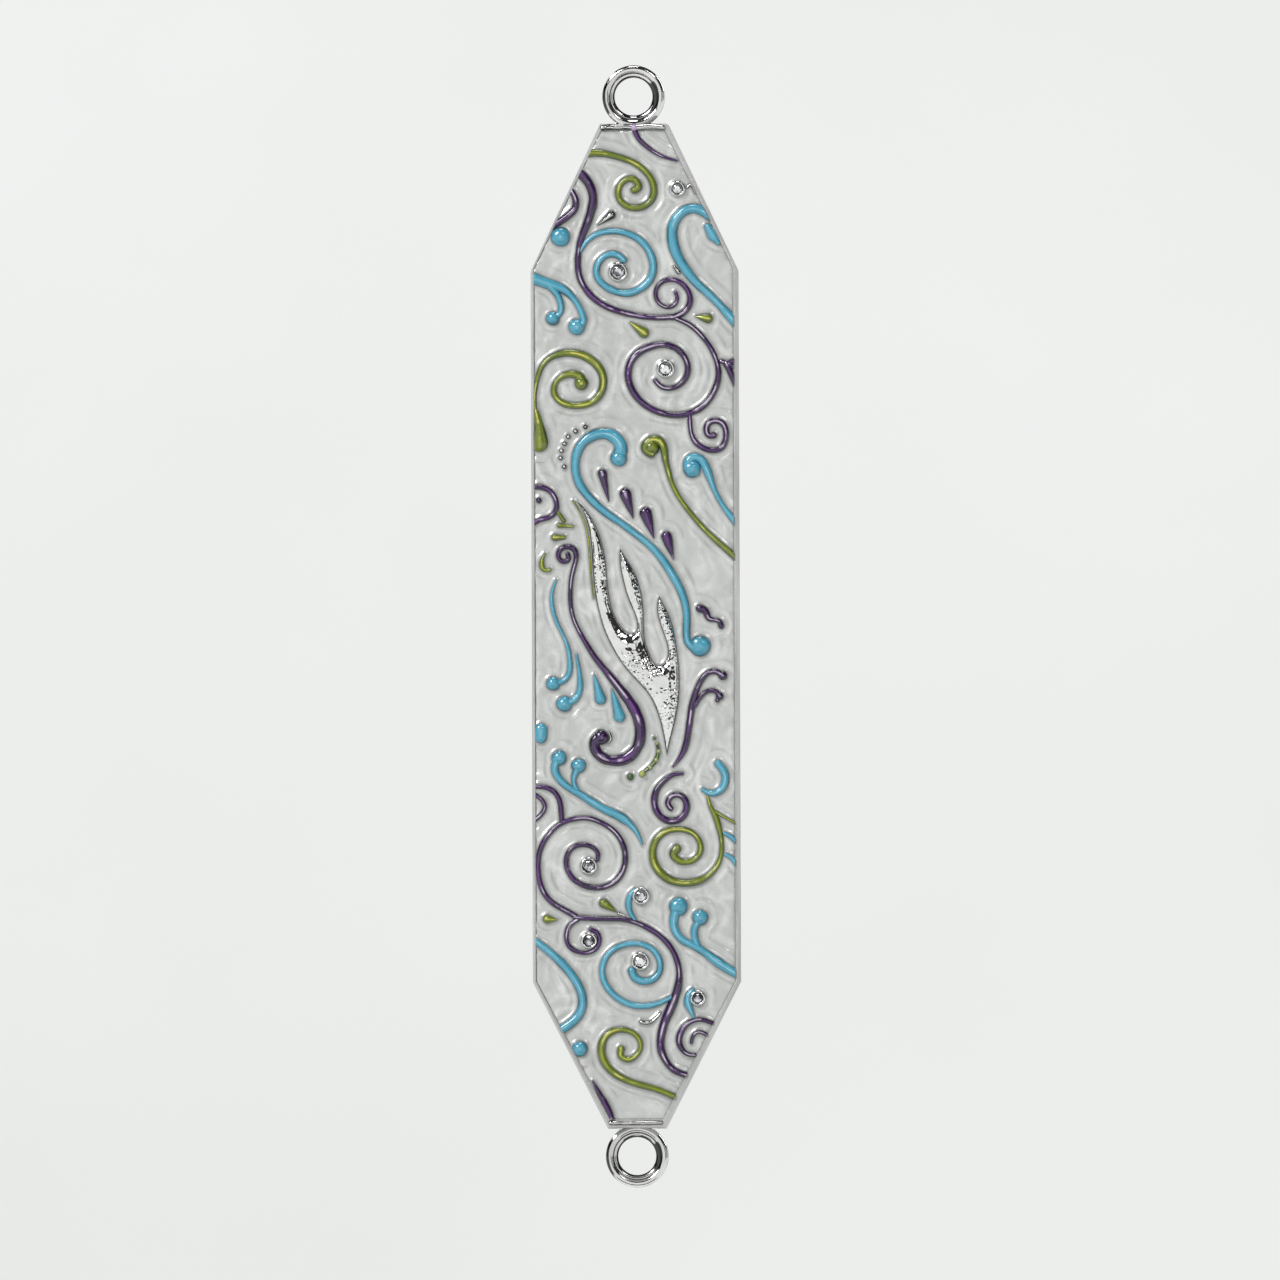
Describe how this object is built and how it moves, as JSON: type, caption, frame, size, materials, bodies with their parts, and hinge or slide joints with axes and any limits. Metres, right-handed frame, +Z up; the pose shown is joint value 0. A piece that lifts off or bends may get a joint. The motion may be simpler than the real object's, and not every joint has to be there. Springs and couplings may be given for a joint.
{
  "type": "mezuzah case",
  "caption": "Wall-hung metal mezuzah case in a long octagon, enamelled with raised scrollwork, with screw eyes at both ends and a sliding back cover over a rolled scroll.",
  "frame": {"origin": "centre of the back, on the plane that lies against the doorpost", "axes": "+Z up along the doorpost, the enamelled face looks along -Y, +Y points into the doorpost, +X to the right as seen from the front"},
  "size_m": [0.0238, 0.0126, 0.1276],
  "materials": {
    "bright_metal": "polished rhodium-plated pewter",
    "satin_metal": "satin cast back and sliding cover",
    "pearl_enamel": "glossy pearl enamel",
    "purple_enamel": "glossy translucent enamel with worn bright crests",
    "blue_enamel": "glossy opaque enamel",
    "green_enamel": "glossy translucent enamel",
    "crystal": "faceted foiled crystal",
    "parchment": "matt scraped parchment",
    "clear_film": "thin clear film"
  },
  "bodies": {
    "case": {"case_shell": "bright_metal", "top_eye": "bright_metal", "bottom_eye": "bright_metal", "pearl_enamel": "pearl_enamel", "shin_emblem": "bright_metal", "crystal_settings": "bright_metal", "crystals": "crystal", "silver_beads": "bright_metal", "silver_tendrils": "bright_metal", "purple_top_sprig": "purple_enamel", "purple_upper_vine": "purple_enamel", "purple_upper_volute": "purple_enamel", "purple_curl": "purple_enamel", "purple_edge_scrolls": "purple_enamel", "purple_drops": "purple_enamel", "purple_middle_scroll": "purple_enamel", "purple_forks": "purple_enamel", "purple_coil": "purple_enamel", "purple_lower_volute": "purple_enamel", "purple_lower_vine": "purple_enamel", "blue_upper_coil": "blue_enamel", "blue_upper_swoosh": "blue_enamel", "blue_middle_swoosh": "blue_enamel", "blue_sprigs": "blue_enamel", "blue_lower_coil": "blue_enamel", "blue_lower_swoosh": "blue_enamel", "blue_curls": "blue_enamel", "blue_dots_and_drops": "blue_enamel", "green_upper_spiral": "green_enamel", "green_left_volute": "green_enamel", "green_middle_curl": "green_enamel", "green_right_volute": "green_enamel", "green_lower_spiral": "green_enamel", "green_leaves": "green_enamel", "green_beads": "green_enamel"},
    "cover": {"back_cover": "satin_metal"},
    "scroll": {"scroll_parchment": "parchment", "scroll_sleeve": "clear_film"}
  },
  "joints": [
    {"name": "cover_slide", "type": "slide", "parent": "case", "child": "cover", "axis": [0, 0, -1], "range_m": [0, 0.1]},
    {"name": "scroll_shift", "type": "slide", "parent": "case", "child": "scroll", "axis": [0, 0, 1], "range_m": [0, 0.0029]}
  ]
}
